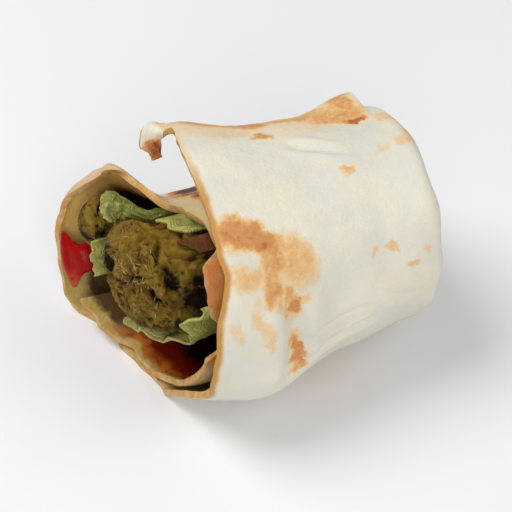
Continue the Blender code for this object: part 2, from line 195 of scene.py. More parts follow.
# Creases in the skin: from and to, as turn angle and place on X, half width, depth.
CREASES = (
    ((152.0, -59.5), (204.0, -62.5), 3.0, 2.6),
    ((81.0, -47.5), (96.0, -29.5), 1.4, 1.2),
    ((116.0, -73.0), (119.0, -67.0), 1.2, 0.6),
    ((128.0, -58.0), (131.0, -51.0), 1.3, 0.6),
    ((70.0, -64.0), (66.0, -52.0), 2.4, 0.5),
    ((181.0, -62.0), (174.0, -34.0), 1.5, 1.3),
    ((193.0, -60.0), (183.0, -31.0), 1.5, 1.3),
    ((168.0, -30.0), (186.0, -22.0), 1.8, 0.7),
    ((228.0, -66.0), (238.0, -30.0), 2.2, 0.9),
    ((318.0, -88.0), (330.0, -52.0), 2.4, 1.0),
    ((10.0, -70.0), (20.0, -30.0), 2.0, 0.8),
)


def smooth_step(low, high, value):
    """0 below low, 1 above high, easing between."""
    share = min(1.0, max(0.0, (value - low) / (high - low)))
    return share * share * (3.0 - 2.0 * share)


def along(points, value):
    """The eased value between the two stated points round value."""
    if value <= points[0][0]:
        return points[0][1]
    for (x0, y0), (x1, y1) in zip(points, points[1:]):
        if value <= x1:
            return y0 + (y1 - y0) * smooth_step(x0, x1, value)
    return points[-1][1]


def bump(value, middle, half):
    """1 at the middle, 0 further away than half."""
    return smooth_step(half, 0.0, abs(value - middle))


def sheet_place(angle, x, from_cut=0.0):
    """Where a spot of bread lies on the sheet before it is rolled up, in metres."""
    return Vector((math.radians(angle) * MID_HALF[0], x, from_cut)) * MM


def crease_depth(angle, x):
    """How far the skin sinks into the creases at a spot."""
    spot = sheet_place(angle, x).xy / MM
    depth = 0.0
    for start, end, half_width, deepest in CREASES:
        a, b = sheet_place(*start).xy / MM, sheet_place(*end).xy / MM
        run = b - a
        share = min(1.0, max(0.0, (spot - a).dot(run) / run.length_squared))
        gap = (spot - a - run * share).length
        fade = smooth_step(0.0, 0.25, share) * smooth_step(1.0, 0.7, share)
        depth += deepest * fade * (math.exp(-(gap / half_width) ** 2)
                                   - 0.45 * math.exp(-((gap - 2.2 * half_width) / half_width) ** 2))
    return depth


def bread_half_axes(angle, x):
    """Half width and half height of the bread's outer face at a turn angle and a place on X."""
    pinch = PINCH * bump(angle, PINCH_ANGLE, PINCH_SPREAD)
    pinch *= smooth_step(*PINCH_FROM_MOUTH, x) * smooth_step(*PINCH_FROM_END, x)
    ridge = RIDGE * smooth_step(TURN_START + RIDGE_SPREAD, TURN_START, angle)
    ridge *= smooth_step(*RIDGE_RISE, x) * smooth_step(*RIDGE_FALL, x)
    change = BELLY * bump(angle, BELLY_ANGLE, BELLY_SPREAD) * bump(x, BELLY_X, BELLY_REACH)
    change += ridge - pinch - CORE_SHRINK * smooth_step(INWARD[1], TURN_END, angle)
    change += LIFT * smooth_step(TURN_START + LIFT_SPREAD, TURN_START, angle) * smooth_step(*LIFT_X, x)
    for out, middle, reach, along_x in BULGES:
        change += out * bump(angle, middle, reach) * smooth_step(*along_x, x)
    gape, taper = smooth_step(*GAPE_X, x), smooth_step(*TAPER_X, x)
    inward = smooth_step(*INWARD, angle)
    sizes = []
    for middle, mouth, end, core in zip(MID_HALF, MOUTH_HALF, END_HALF, CORE_HALF):
        outer = middle + gape * (mouth - middle) + taper * (end - middle)
        inner = core * (1.0 - CORE_TAPER * taper)
        sizes.append(outer + inward * (inner - outer) + change)
    return sizes


def tucked_place(angle, part, wall_end, drop):
    """Place on X and share of the radius where the end folds in, part of the way from 0 to 1."""
    hole = HOLE_SHARE + HOLE_AT_EDGE * smooth_step(TURN_START + 80.0, TURN_START, angle)
    sweep = math.acos(hole ** (1.0 / TUCK_POWER)) * (1.0 - (1.0 - part) ** TUCK_PACE)
    share = math.cos(sweep) ** TUCK_POWER
    tucked_x = wall_end + TUCK_DEPTH * math.sin(sweep) ** TUCK_POWER
    tucked_x += drop * smooth_step(0.6, 0.12, share)
    straight_x = wall_end + TUCK_DEPTH * 0.8 * part
    closing = smooth_step(*TUCK_TURNS, angle)
    return straight_x + closing * (tucked_x - straight_x), 1.0 + closing * (share - 1.0)


def rolled_in(angle, from_cut):
    """Where the rim curls: how much nearer to the end of the roll, and to its axis, a spot is."""
    if from_cut >= CURL_LENGTH:
        return 0.0, 0.0
    most = CURL_ELSEWHERE + (CURL_TURN - CURL_ELSEWHERE) * bump(angle, CURL_ANGLE, CURL_SPREAD)
    radius = CURL_LENGTH / math.radians(most)
    turned = (CURL_LENGTH - from_cut) / radius
    return CURL_LENGTH - from_cut - radius * math.sin(turned), radius * (1.0 - math.cos(turned))


def bread_place(angle, row):
    """A point on the bread's outer face and its x on the sheet; row runs from 0 at the mouth to 1."""
    drop = TURN_GAP * smooth_step(*GAP_TURNS, angle)
    lean = EDGE_LEAN * (math.cos(math.radians(angle - TURN_START)) - 1.0)
    wall_end = lean - TUCK_START - drop - STRAIGHT_SHORT * smooth_step(*STRAIGHT_ANGLES, angle)
    round_rim = math.radians(angle) * MID_HALF[0] / CUT_RAGGED[0]
    ragged = CUT_RAGGED[1] * noise.noise(Vector((round_rim, 4.0, 0.0)))
    mouth = along(CUT_EDGE, angle) + ragged
    tuck_from = 1.0 - TUCK_ROWS / BREAD_ROWS
    x, share = mouth + (wall_end - mouth) * min(1.0, row / tuck_from) ** ROW_POWER, 1.0
    if row > tuck_from:
        x, share = tucked_place(angle, (row - tuck_from) / (1.0 - tuck_from), wall_end, drop)
    width, height = bread_half_axes(angle, x)
    on_sheet = x
    ahead, inward = rolled_in(angle, x - mouth)
    x, width, height = x + ahead, width - inward, height - inward
    turn = math.radians(angle)
    spot = Vector((x, MID_HALF[0] * math.cos(turn), MID_HALF[0] * math.sin(turn)))
    inner = Vector((0.0, 0.0, INNER_RELIEF if angle > INWARD[1] else 0.0))
    relief = WAVES[1] * noise.noise(spot / WAVES[0] + inner)
    blister = noise.noise(spot / BLISTERS[0] + inner)
    blister += 0.5 * noise.noise(spot / (BLISTERS[0] * 0.45) + inner)
    relief += BLISTERS[1] * max(0.0, blister) ** BLISTER_POWER
    relief += GRAIN[1] * noise.noise(spot / GRAIN[0] + inner)
    relief -= crease_depth(angle, x)
    relief *= 1.0 - INNER_CALM * smooth_step(*CALM_TURNS, angle)
    y = (width + relief) * share * math.cos(turn)
    floor = INNER_LIFT * smooth_step(*LIFT_TURNS, angle) - AXIS_HEIGHT
    z = max((height + relief) * share * math.sin(turn), floor * max(share, 0.2))
    pleat = PLEAT_DEPTH * math.sin(turn * PLEATS + PLEAT_SWAY * math.sin(turn * 2.0))
    pleat *= share * (1.0 - share) * smooth_step(0.1, 0.4, share) * smooth_step(*TUCK_TURNS, angle)
    return Vector((x + pleat, y, z)), on_sheet, on_sheet - mouth


def column_angle(column):
    """Turn angle of a grid column: narrow columns along the loose edge, even ones after."""
    narrow = EDGE_COLUMNS * EDGE_STEP
    if column <= EDGE_COLUMNS:
        return TURN_START + column * EDGE_STEP
    rest = (column - EDGE_COLUMNS) / (BREAD_COLUMNS - EDGE_COLUMNS)
    return TURN_START + narrow + rest * (TURN_END - TURN_START - narrow)


# The torn tongue at the loose edge's mouth corner: it runs on past the mouth and hangs down.
TONGUE_STEPS, TONGUE_LENGTH, TONGUE_AHEAD, TONGUE_TURN_RADIUS = 30, 13.5, 2.2, 3.8
TONGUE_ROOT, TONGUE_WIDE, TONGUE_TIP = 7.6, 6.2, 2.6  # its widths
TONGUE_COLUMNS, TONGUE_FROM_CUT = 12, 8.0  # of the sheet's grid, and its tip's distance from the cut
TONGUE_TURN, TONGUE_WANDER = 100.0, (2.5, 0.8)  # how far it bends down, and its edges' unevenness
HANGING = Vector((0.0, -0.51, -0.86))


def tongue_place(share, across):
    """A point on the tongue: share of its length, and across from -0.5 to 0.5 of its width."""
    run = TONGUE_LENGTH * share
    ahead = min(run, TONGUE_AHEAD)
    turn = min((run - ahead) / TONGUE_TURN_RADIUS, math.radians(TONGUE_TURN))
    beyond = run - ahead - turn * TONGUE_TURN_RADIUS
    ahead += TONGUE_TURN_RADIUS * math.sin(turn) + beyond * math.cos(turn)
    aside = TONGUE_TURN_RADIUS * (1.0 - math.cos(turn)) + beyond * math.sin(turn)
    outward = Vector((-1.0, 0.0, 0.0))
    root = bread_place(TURN_START + EDGE_STEP * TONGUE_COLUMNS / 2, 0.0)[0]
    root_across = bread_place(TURN_START + EDGE_STEP * TONGUE_COLUMNS, 0.0)[0] - root
    hooked = HANGING * math.cos(turn) - outward * math.sin(turn)
    sideways = root_across.normalized().lerp(hooked, smooth_step(0.08, 0.5, share)).normalized()
    width = TONGUE_ROOT + (TONGUE_WIDE - TONGUE_ROOT) * smooth_step(0.0, 0.5, share)
    width += (TONGUE_TIP - TONGUE_WIDE) * smooth_step(0.6, 1.0, share)
    stray = noise.noise(Vector((run / TONGUE_WANDER[0], across * 2.0, 7.0)))
    stray *= TONGUE_WANDER[1] * smooth_step(0.1, 0.4, share)
    return root + outward * ahead + HANGING * aside + sideways * (across * width + stray)


def put_in_place(name, mesh_tool, finishes):
    """Makes the object of a finished shape in millimetres, in the roll's place, in metres."""
    shift = Vector((0.0, 0.0, AXIS_HEIGHT)) - CENTRE
    bmesh.ops.translate(mesh_tool, vec=shift, verts=mesh_tool.verts)
    bmesh.ops.scale(mesh_tool, vec=(MM, MM, MM), verts=mesh_tool.verts)
    piece = bpy.data.objects.new(name, bpy.data.meshes.new(name))
    mesh_tool.to_mesh(piece.data)
    mesh_tool.free()
    piece.data.shade_smooth()
    for finish in finishes:
        piece.data.materials.append(finish)
    bpy.context.scene.collection.objects.link(piece)
    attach(piece, "root")
    return piece


def lay_out_bread():
    """The rolled sheet with its tongue; each point keeps its place on the flat sheet."""
    sheet = bmesh.new()
    spot = sheet.verts.layers.float_vector.new("sheet")
    thick = sheet.verts.layers.deform.new()
    bmesh.ops.create_grid(sheet, x_segments=BREAD_COLUMNS, y_segments=BREAD_ROWS, size=0.5)
    rim = {}
    for vertex in sheet.verts:
        column = round((vertex.co.x + 0.5) * BREAD_COLUMNS)
        row = round((vertex.co.y + 0.5) * BREAD_ROWS)
        angle = column_angle(column)
        vertex.co, x, from_cut = bread_place(angle, row / BREAD_ROWS)
        vertex[spot] = sheet_place(angle, x, from_cut)
        if row == 0 and column <= TONGUE_COLUMNS:
            rim[vertex] = column
    edges = [edge for edge in sheet.edges if all(vertex in rim for vertex in edge.verts)]
    for step in range(1, TONGUE_STEPS + 1):
        made = bmesh.ops.extrude_edge_only(sheet, edges=edges)["geom"]
        new_rim = {}
        for vertex in (item for item in made if isinstance(item, bmesh.types.BMVert)):
            new_rim[vertex] = rim[min(rim, key=lambda old: (old.co - vertex.co).length)]
        for vertex, column in new_rim.items():
            share = step / TONGUE_STEPS
            vertex.co = tongue_place(share, column / TONGUE_COLUMNS - 0.5)
            x = CUT_EDGE[0][1] - share * TONGUE_LENGTH
            vertex[spot] = sheet_place(column_angle(column), x, share * TONGUE_FROM_CUT)
        edges = [item for item in made if isinstance(item, bmesh.types.BMEdge)]
        edges = [edge for edge in edges if all(vertex in new_rim for vertex in edge.verts)]
        rim = new_rim
    usual, uneven, at_rim = THICK_WEIGHTS
    for vertex in sheet.verts:
        around_rim = bump(vertex[spot].x / MM / math.radians(1.0) / MID_HALF[0], THICK_ANGLE, THICK_SPREAD)
        swollen = around_rim * smooth_step(*THICK_REACH, vertex[spot].z / MM)
        vertex[thick][0] = usual + uneven * noise.noise(vertex.co / 7.0) + at_rim * swollen
    return sheet


# Its finish is plain wheat dough, cooked on a hot griddle: cream where it only dried, with
# toasted tan and orange-brown patches where it touched the metal.  Sauce has soaked into the
# second turn, and the knife's cut shows an ochre crumb between tan skins.
CREAM, CREAM_WARM, CREAM_GREY = (0.73, 0.69, 0.565), (0.76, 0.67, 0.47), (0.64, 0.625, 0.53)
TOASTED_TAN, TOASTED = (0.74, 0.46, 0.19), (0.57, 0.25, 0.078)
TOASTED_BROWN, CHARRED = (0.38, 0.11, 0.025), (0.10, 0.028, 0.012)
HEATS = (
    # from which heat to which the dough takes on a colour
    (0.02, 0.60, TOASTED_TAN), (0.42, 0.95, TOASTED), (0.95, 1.35, TOASTED_BROWN), (1.35, 1.7, CHARRED),
)
# The rim's brown is toasted colour on the cut and the skin, and also a painted shade line inside the arch.
RIM_OCHRE, RIM_BROWN_AND_SHADE = (0.50, 0.25, 0.052), (0.27, 0.13, 0.024)
# The arch's gold is the golden skin inside the arch, painted brighter than it is, as light.
OILY_CREAM, ARCH_GOLD_LIT = (0.44, 0.30, 0.072), (0.95, 0.63, 0.19)
# The dark brown below is painted shade on the inner wall beside the chicken and at the inner end.
PAINTED_SHADE_BROWN = (0.055, 0.020, 0.004)
SAUCE_ORANGE, SAUCE_RED = (0.50, 0.155, 0.016), (0.17, 0.010, 0.002)
# The near black below is painted shade deep inside the roll.
PAINTED_SHADE_DARK = (0.008, 0.003, 0.002)
MARK_RAGGED, MARK_FADE = (11.0, 150.0), 1.7  # how far, how finely the marks' edges stray; their fade
DEPTH_WANDER = 7.0  # how far the edges of the stains stray

# Stretches of the sheet for the stains and the painted shade: the turn angles where each starts, is full,
# fades and is gone.
OILY_STRETCH, ORANGE_STRETCH = (400.0, 425.0), (466.0, 480.0, 545.0, 566.0)
BACK_STRETCH, FRONT_STRETCH = (330.0, 352.0, 398.0, 420.0), (82.0, 110.0, 190.0, 215.0)
ARCH_STRETCH, ARCH_TOP_STRETCH = (322.0, 345.0, 400.0, 425.0), (362.0, 378.0, 400.0, 425.0)
SECOND_STRETCH, BOTTOM_STRETCH = (395.0, 420.0, 505.0, 530.0), (520.0, 560.0, 632.0, 655.0)
CORNER_STRETCH, END_STRETCH = (296.0, 306.0, 326.0, 338.0), (636.0, 650.0)
BROWNED_EDGE, SAUCED_EDGE = (100.0, 125.0, 180.0, 205.0), (466.0, 484.0)

# Toasted patches of the outer skin: turn angle and place on X, half length along X, half
# width round the roll, turn, strength.
TOAST_MARKS = (
    # the large patch behind the mouth's front edge
    ((125.5, -72.5), 6.5, 4.4, -22.0, 0.98),
    ((128.5, -66.5), 6.5, 4.6, -26.0, 0.95),
    ((131.0, -67.0), 3.2, 2.6, -20.0, 1.12),
    ((138.0, -63.5), 4.0, 8.0, -8.0, 0.74),
    ((141.0, -57.0), 6.0, 7.0, -10.0, 0.56),
    ((143.0, -72.0), 4.6, 3.4, 0.0, 0.50),
    ((148.5, -66.0), 3.2, 4.6, 0.0, 0.72),
    ((157.5, -61.2), 3.0, 5.4, 6.0, 0.66),
    ((160.5, -60.7), 2.0, 2.4, 0.0, 0.95),
    ((158.0, -56.8), 2.2, 1.8, 0.0, 0.42),
    ((161.0, -71.0), 2.5, 5.2, 0.0, 0.40),
    ((169.5, -69.0), 1.4, 3.0, 0.0, 0.38),
    ((185.5, -60.2), 2.1, 8.0, 4.0, 0.92),
    ((164.0, -78.0), 1.8, 3.2, 0.0, 0.30),
    # along the loose edge and its ridge
    ((55.0, -66.0), 9.0, 4.6, 0.0, 0.72),
    ((56.0, -54.0), 9.0, 5.0, 0.0, 0.80),
    ((74.0, -51.0), 2.8, 2.4, 20.0, 0.85),
    ((57.0, -38.0), 11.0, 4.8, 0.0, 0.66),
    ((56.0, -22.5), 5.0, 4.6, 0.0, 0.78),
    ((65.0, -26.0), 9.0, 5.0, 0.0, 0.72),
    ((69.0, -21.5), 3.4, 1.4, 10.0, 1.30),
    ((73.0, -12.0), 5.0, 3.4, 0.0, 0.42),
    ((88.0, -9.0), 3.4, 4.6, 0.0, 0.48),
    ((94.0, -12.5), 2.6, 1.8, 0.0, 0.42),
    ((62.0, -62.0), 16.0, 8.0, 0.0, 0.30),
    ((66.0, -36.0), 14.0, 8.0, 0.0, 0.28),
    # small spots over the front
    ((104.0, -32.9), 1.9, 1.4, 10.0, 0.62),
    ((145.0, -32.1), 1.3, 1.5, 0.0, 0.40),
    ((147.0, -27.1), 1.4, 2.2, 30.0, 0.46),
    ((160.0, -21.4), 1.4, 1.6, 0.0, 0.46),
    ((154.0, -15.6), 1.3, 2.2, 0.0, 0.36),
    ((96.0, -21.0), 3.4, 1.5, 30.0, 0.30),
    # the sides away from the mouth's front
    ((15.0, -62.0), 14.0, 9.0, 12.0, 0.80),
    ((24.0, -30.0), 9.0, 7.0, -20.0, 0.66),
    ((340.0, -84.0), 12.0, 10.0, 25.0, 0.80),
    ((352.0, -47.0), 11.0, 7.0, -10.0, 0.62),
    ((318.0, -58.0), 13.0, 9.0, 15.0, 0.72),
    ((290.0, -30.0), 10.0, 9.0, 0.0, 0.70),
    ((262.0, -70.0), 14.0, 9.0, -8.0, 0.70),
    ((228.0, -45.0), 9.0, 7.0, 10.0, 0.55),
    ((330.0, -20.0), 8.0, 7.0, 5.0, 0.60),
)
# Toasted and stained places on the second turn and on the torn tongue.
INNER_MARKS = (
    ((381.0, -70.5), 5.5, 9.0, 0.0, 1.70),
    ((395.0, -71.5), 4.0, 6.0, 0.0, 1.30),
    ((427.0, -75.5), 3.6, 6.0, 0.0, 1.70),
    ((440.0, -72.0), 3.2, 10.0, 0.0, 1.50),
    ((455.0, -69.5), 2.4, 5.0, 0.0, 1.45),
    ((52.0, -76.5), 1.4, 2.4, 0.0, 0.50),
    ((58.0, -85.5), 2.6, 6.0, 0.0, 1.40),
)


def new_finish(name):
    """A node material, its node tree, its surface shader and a spot's place in the roll."""
    finish = bpy.data.materials.new(name)
    finish.use_nodes = True
    tree = finish.node_tree
    return finish, tree, tree.nodes["Principled BSDF"], spot_place(tree)


def spot_place(tree):
    """The place of a spot in the roll's own frame, in metres."""
    return add_node(tree, "TexCoord").outputs["Object"]


def stored(tree, name, output="Vector"):
    """What the points of a mesh keep under a name."""
    return add_node(tree, "Attribute", attribute_name=name).outputs[output]


def maths(tree, operation, first, second):
    """The output of a maths node of two values."""
    return add_node(tree, "Math", {0: first, 1: second}, operation=operation).outputs["Value"]


def vectors(tree, operation, *inputs, output="Vector"):
    """The output of a vector maths node."""
    return add_node(tree, "VectorMath", dict(enumerate(inputs)), operation=operation).outputs[output]


def plus(tree, first, second):
    """The sum of two values."""
    return maths(tree, "ADD", first, second)


def times(tree, first, *others):
    """The product of two or more shares."""
    for other in others:
        first = maths(tree, "MULTIPLY", first, other)
    return first


def most_of(tree, first, *others):
    """The largest of two or more shares."""
    for other in others:
        first = maths(tree, "MAXIMUM", first, other)
    return first


def spread(tree, value, low, high, start=0.0, end=1.0):
    """value mapped from low..high to start..end, eased and clamped."""
    inputs = {"Value": value, "From Min": low, "From Max": high, "To Min": start, "To Max": end}
    return add_node(tree, "MapRange", inputs, interpolation_type="SMOOTHSTEP").outputs["Result"]


def cloud(tree, place, size, detail=3.0, rough=0.55):
    """Cloudy noise from 0 to 1 whose blobs are about size millimetres across."""
    inputs = {"Vector": place, "Scale": 1.0 / (size * MM), "Detail": detail, "Roughness": rough}
    return add_node(tree, "TexNoise", inputs).outputs["Fac"]


def patches(tree, place, grain, low, high, start=0.0, end=1.0):
    """Cloudy patches; grain is the size, detail and roughness of the cloud."""
    return spread(tree, cloud(tree, place, *grain), low, high, start, end)


def wander(tree, place, grain, reach):
    """Cloudy noise that shifts a distance to and fro within reach millimetres in all."""
    return times(tree, maths(tree, "SUBTRACT", cloud(tree, place, *grain), 0.5), reach * MM)


def blend_colour(tree, share, first, second):
    """first turned into second by share; each is a colour or an output."""
    node = tree.nodes.new("ShaderNodeMix")
    node.data_type = "RGBA"
    node.clamp_factor = True
    for socket, value in (("Factor_Float", share), ("A_Color", first), ("B_Color", second)):
        plug(tree, next(item for item in node.inputs if item.identifier == socket), value)
    return next(item for item in node.outputs if item.identifier == "Result_Color")


def stained(tree, colour, *stains):
    """A colour with stains laid over it in turn, each a share and a colour."""
    for share, stain in stains:
        colour = blend_colour(tree, share, colour, stain)
    return colour


def finish_off(tree, surface, colour, roughness, specular, relief, height):
    """Gives a finish its colour, roughness, sheen, and relief of at most height millimetres."""
    bumps = add_node(tree, "Bump", {"Height": relief, "Distance": height * MM})
    for name, value in (("Base Color", colour), ("Roughness", roughness), ("Specular IOR Level", specular),
                        ("Normal", bumps.outputs["Normal"])):
        plug(tree, surface.inputs[name], value)


def new_group(name, inputs, outputs):
    """A node group with float inputs and with outputs of the stated kinds, and what comes in."""
    group = bpy.data.node_groups.new(name, "ShaderNodeTree")
    for words in inputs:
        group.interface.new_socket(words, in_out="INPUT", socket_type="NodeSocketFloat")
    for words, kind in outputs:
        group.interface.new_socket(words, in_out="OUTPUT", socket_type="NodeSocket" + kind)
    return group, group.nodes.new("NodeGroupInput").outputs


def puts_out(group, **outputs):
    """Links what a node group puts out, and hands the group on."""
    node = group.nodes.new("NodeGroupOutput")
    for name, value in outputs.items():
        plug(group, node.inputs[name], value)
    return group


def bread_coat():
    """Node group: the dough's colour and fine relief, toasted by a share from 0 to 1 and more."""
    group, inside = new_group("griddled_dough", ["Toasted"], [("Colour", "Color"), ("Relief", "Float")])
    place = spot_place(group)
    warm = times(group, patches(group, place, (13.0, 4.0), 0.48, 0.70), 0.55)
    pores = cloud(group, place, 1.1, 4.0, 0.7)
    dough = stained(group, CREAM, (patches(group, place, (24.0,), 0.35, 0.65), CREAM_GREY),
                    (warm, CREAM_WARM), (spread(group, pores, 0.60, 0.78, 0.0, 0.35), CREAM_WARM))
    patchy = plus(group, cloud(group, place, 4.0, 5.0, 0.65), cloud(group, place, 1.3, 3.0))
    patchy = times(group, maths(group, "SUBTRACT", patchy, 1.0), 0.85)
    stray = patches(group, place, (7.0, 5.0, 0.6), 0.58, 0.80, 0.0, 0.17)
    heat = plus(group, inside["Toasted"], times(group, patchy, inside["Toasted"]))
    heat = plus(group, heat, stray)
    toasts = [(spread(group, heat, low, high), toasted) for low, high, toasted in HEATS]
    colour = stained(group, dough, *toasts)
    relief = plus(group, cloud(group, place, 2.2, 5.0, 0.6), times(group, pores, 0.5))
    return puts_out(group, Colour=colour, Relief=relief)


def mark_masks(tree, place, marks):
    """The strongest of a list of soft, ragged-edged marks at a spot on the sheet."""
    swirl = add_node(tree, "TexNoise", {"Vector": place, "Scale": MARK_RAGGED[1], "Detail": 5.0,
                                        "Roughness": 0.65}).outputs["Color"]
    stray = vectors(tree, "SUBTRACT", swirl, (0.5, 0.5, 0.5))
    stray = vectors(tree, "MULTIPLY", stray, (MARK_RAGGED[0] * MM, MARK_RAGGED[0] * MM, 0.0))
    flat = vectors(tree, "MULTIPLY", stored(tree, "sheet"), (1.0, 1.0, 0.0))
    flat = vectors(tree, "ADD", flat, stray)
    masks = []
    for middle, half_length, half_width, turn, strength in marks:
        inputs = {"Vector": flat, "Location": sheet_place(*middle),
                  "Rotation": (0.0, 0.0, math.radians(turn)),
                  "Scale": (half_width * MARK_FADE * MM, half_length * MARK_FADE * MM, 1.0)}
        mark = add_node(tree, "Mapping", inputs, vector_type="TEXTURE").outputs["Vector"]
        ball = add_node(tree, "TexGradient", {"Vector": mark}, gradient_type="SPHERICAL")
        masks.append(spread(tree, ball.outputs["Fac"], 0.06, 0.74, 0.0, strength))
    return most_of(tree, *masks)


def stretch(tree, turned, start, full, fade=None, gone=None):
    """1 between two turn angles of the sheet, easing in from start and out again to gone."""
    share = spread(tree, turned, sheet_place(start, 0.0).x, sheet_place(full, 0.0).x)
    if fade is None:
        return share
    return times(tree, share, spread(tree, turned, sheet_place(gone, 0.0).x, sheet_place(fade, 0.0).x))


def deep(tree, depth, none, full, most=1.0, least=0.0):
    """least at one distance in millimetres, easing to most at another."""
    return spread(tree, depth, none * MM, full * MM, least, most)


def sheet_parts(tree, place):
    """How far a spot lies round the roll and from the cut, and its wavering depth."""
    turned, _, from_cut = add_node(tree, "SeparateXYZ", {"Vector": stored(tree, "sheet")}).outputs
    return turned, from_cut, plus(tree, from_cut, wander(tree, place, (6.0, 5.0, 0.6), DEPTH_WANDER))


def outer_skin(coat):
    """Cream dough with toasted patches; the second turn's front is stained with sauce."""
    finish, tree, surface, place = new_finish("bread_outer_skin")
    turned, from_cut, depth = sheet_parts(tree, place)
    marks = mark_masks(tree, place, TOAST_MARKS + INNER_MARKS)
    near_cut = plus(tree, times(tree, depth, 0.3), times(tree, from_cut, 0.7))
    dough = add_node(tree, "Group", node_tree=coat)
    rim = times(tree, deep(tree, near_cut, 3.2, 0.6), 0.34)
    tree.links.new(most_of(tree, marks, rim), dough.inputs["Toasted"])
    stain = times(tree, stretch(tree, turned, *ORANGE_STRETCH),
                  patches(tree, place, (4.0, 5.0), 0.25, 0.6, 0.78, 1.0),
                  deep(tree, depth, -0.6, 1.2, least=0.45))
    soiled = times(tree, stretch(tree, turned, *OILY_STRETCH), spread(tree, marks, 0.7, 0.2, 0.0, 0.62))
    streak = times(tree, patches(tree, place, (2.6, 5.0, 0.65), 0.52, 0.72, 0.0, 0.75), stain)
    back = times(tree, stretch(tree, turned, *BACK_STRETCH), deep(tree, depth, 7.5, 2.5, 0.55))
    edge = times(tree, stretch(tree, turned, *FRONT_STRETCH), deep(tree, near_cut, 2.4, 0.8))
    colour = stained(tree, dough.outputs["Colour"], (soiled, OILY_CREAM), (stain, SAUCE_ORANGE),
                     (streak, RIM_BROWN_AND_SHADE), (most_of(tree, back, edge), RIM_OCHRE))
    moist = spread(tree, stain, 0.0, 1.0, 0.62, 0.35)
    finish_off(tree, surface, colour, moist, 0.35, dough.outputs["Relief"], 0.22)
    return finish


def inner_skin(coat):
    """Oily dough, golden along the arch, painted brighter there as light, red with sauce at the bottom, and
    painted shade further in.
    """
    finish, tree, surface, place = new_finish("bread_inner_skin")
    turned, _, depth = sheet_parts(tree, place)
    dough = add_node(tree, "Group", node_tree=coat)
    dough.inputs["Toasted"].default_value = 0.30
    arch, bottom = stretch(tree, turned, *ARCH_STRETCH), stretch(tree, turned, *BOTTOM_STRETCH)
    oily = patches(tree, place, (5.0, 5.0, 0.6), 0.3, 0.65, 0.72, 1.0)
    ochre = times(tree, arch, patches(tree, place, (4.0, 5.0, 0.65), 0.52, 0.74, 0.0, 0.60))
    ochre = most_of(tree, ochre, times(tree, stretch(tree, turned, *ARCH_TOP_STRETCH), 0.75))
    soaked = times(tree, deep(tree, depth, 0.4, 3.4), bottom)
    orange = times(tree, soaked, patches(tree, place, (5.0, 4.0), 0.38, 0.58),
                   deep(tree, depth, 8.0, 4.0, 0.75))
    # Painted shade on the inner wall beside the chicken and at the sheet's inner end, darker further in.
    corner = times(tree, stretch(tree, turned, *CORNER_STRETCH), deep(tree, depth, 5.8, 9.2))
    end = times(tree, stretch(tree, turned, *END_STRETCH), deep(tree, depth, 3.2, 6.0))
    # Painted shade: darker further from the cut along the arch, on the second turn and at the bottom, near
    # black deep inside.
    shade = most_of(tree, times(tree, arch, deep(tree, depth, 15.0, 19.5)),
                    times(tree, stretch(tree, turned, *SECOND_STRETCH), deep(tree, depth, 0.8, 5.0)),
                    times(tree, bottom, deep(tree, depth, 10.0, 15.0)),
                    times(tree, deep(tree, depth, 14.0, 24.0), 0.97))
    colour = stained(
        tree, dough.outputs["Colour"], (oily, OILY_CREAM),
        # Painted light: the arch's golden band is brighter than the skin is.
        (times(tree, arch, deep(tree, depth, 15.5, 12.5)), ARCH_GOLD_LIT), (ochre, RIM_OCHRE),
        # Painted shade: a brown line inside the golden band.
        (times(tree, arch, deep(tree, depth, 13.5, 16.0, 0.85)), RIM_BROWN_AND_SHADE), (soaked, SAUCE_RED),
        (orange, SAUCE_ORANGE), (times(tree, most_of(tree, corner, end), 0.94), PAINTED_SHADE_BROWN),
        (shade, PAINTED_SHADE_DARK))
    moist = spread(tree, soaked, 0.0, 1.0, 0.58, 0.22)
    finish_off(tree, surface, colour, moist, 0.15, dough.outputs["Relief"], 0.3)
    return finish


def cut_edge(coat):
    """The knife's cut: ochre crumb, browned along the front and stained along the second turn."""
    finish, tree, surface, place = new_finish("bread_cut_edge")
    turned = sheet_parts(tree, place)[0]
    dough = add_node(tree, "Group", node_tree=coat)
    dough.inputs["Toasted"].default_value = 0.42
    ochre = patches(tree, place, (3.0, 5.0, 0.65), 0.32, 0.62, 0.3, 0.9)
    browned = times(tree, stretch(tree, turned, *BROWNED_EDGE),
                    patches(tree, place, (4.0, 4.0), 0.35, 0.65, 0.35, 0.8))
    stain = times(tree, stretch(tree, turned, *SAUCED_EDGE),
                  patches(tree, place, (5.0, 4.0), 0.42, 0.66, 0.0, 0.5))
    colour = stained(tree, dough.outputs["Colour"], (ochre, RIM_OCHRE), (browned, RIM_BROWN_AND_SHADE),
                     (stain, SAUCE_ORANGE))
    finish_off(tree, surface, colour, 0.7, 0.15, dough.outputs["Relief"], 0.35)
    return finish


coat = bread_coat()
skins = [outer_skin(coat), inner_skin(coat), cut_edge(coat)]
flatbread = put_in_place("flatbread_rolled", lay_out_bread(), skins)
flatbread.vertex_groups.new(name="thickness")
shell = flatbread.modifiers.new("Thickness", "SOLIDIFY")
shell.thickness = BREAD_THICK * MM
shell.offset = -1.0
shell.use_even_offset = False
shell.vertex_group = "thickness"
shell.thickness_vertex_group = BREAD_THIN_SHARE
shell.material_offset = 1
shell.material_offset_rim = 2
rounding = flatbread.modifiers.new("Soft edges", "BEVEL")
rounding.width = EDGE_ROUND * MM
rounding.segments = 2
rounding.limit_method = "ANGLE"
rounding.angle_limit = math.radians(SHARP_EDGE)
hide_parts("flatbread")

# ---------------------------------------------------------------- the large piece of chicken
# A thick chunk of chicken, marinated in a green masala and grilled.  Torn open at the cut, it
# shows coarse muscle fibres, browned and moist, with paler strands pulled out of the middle.

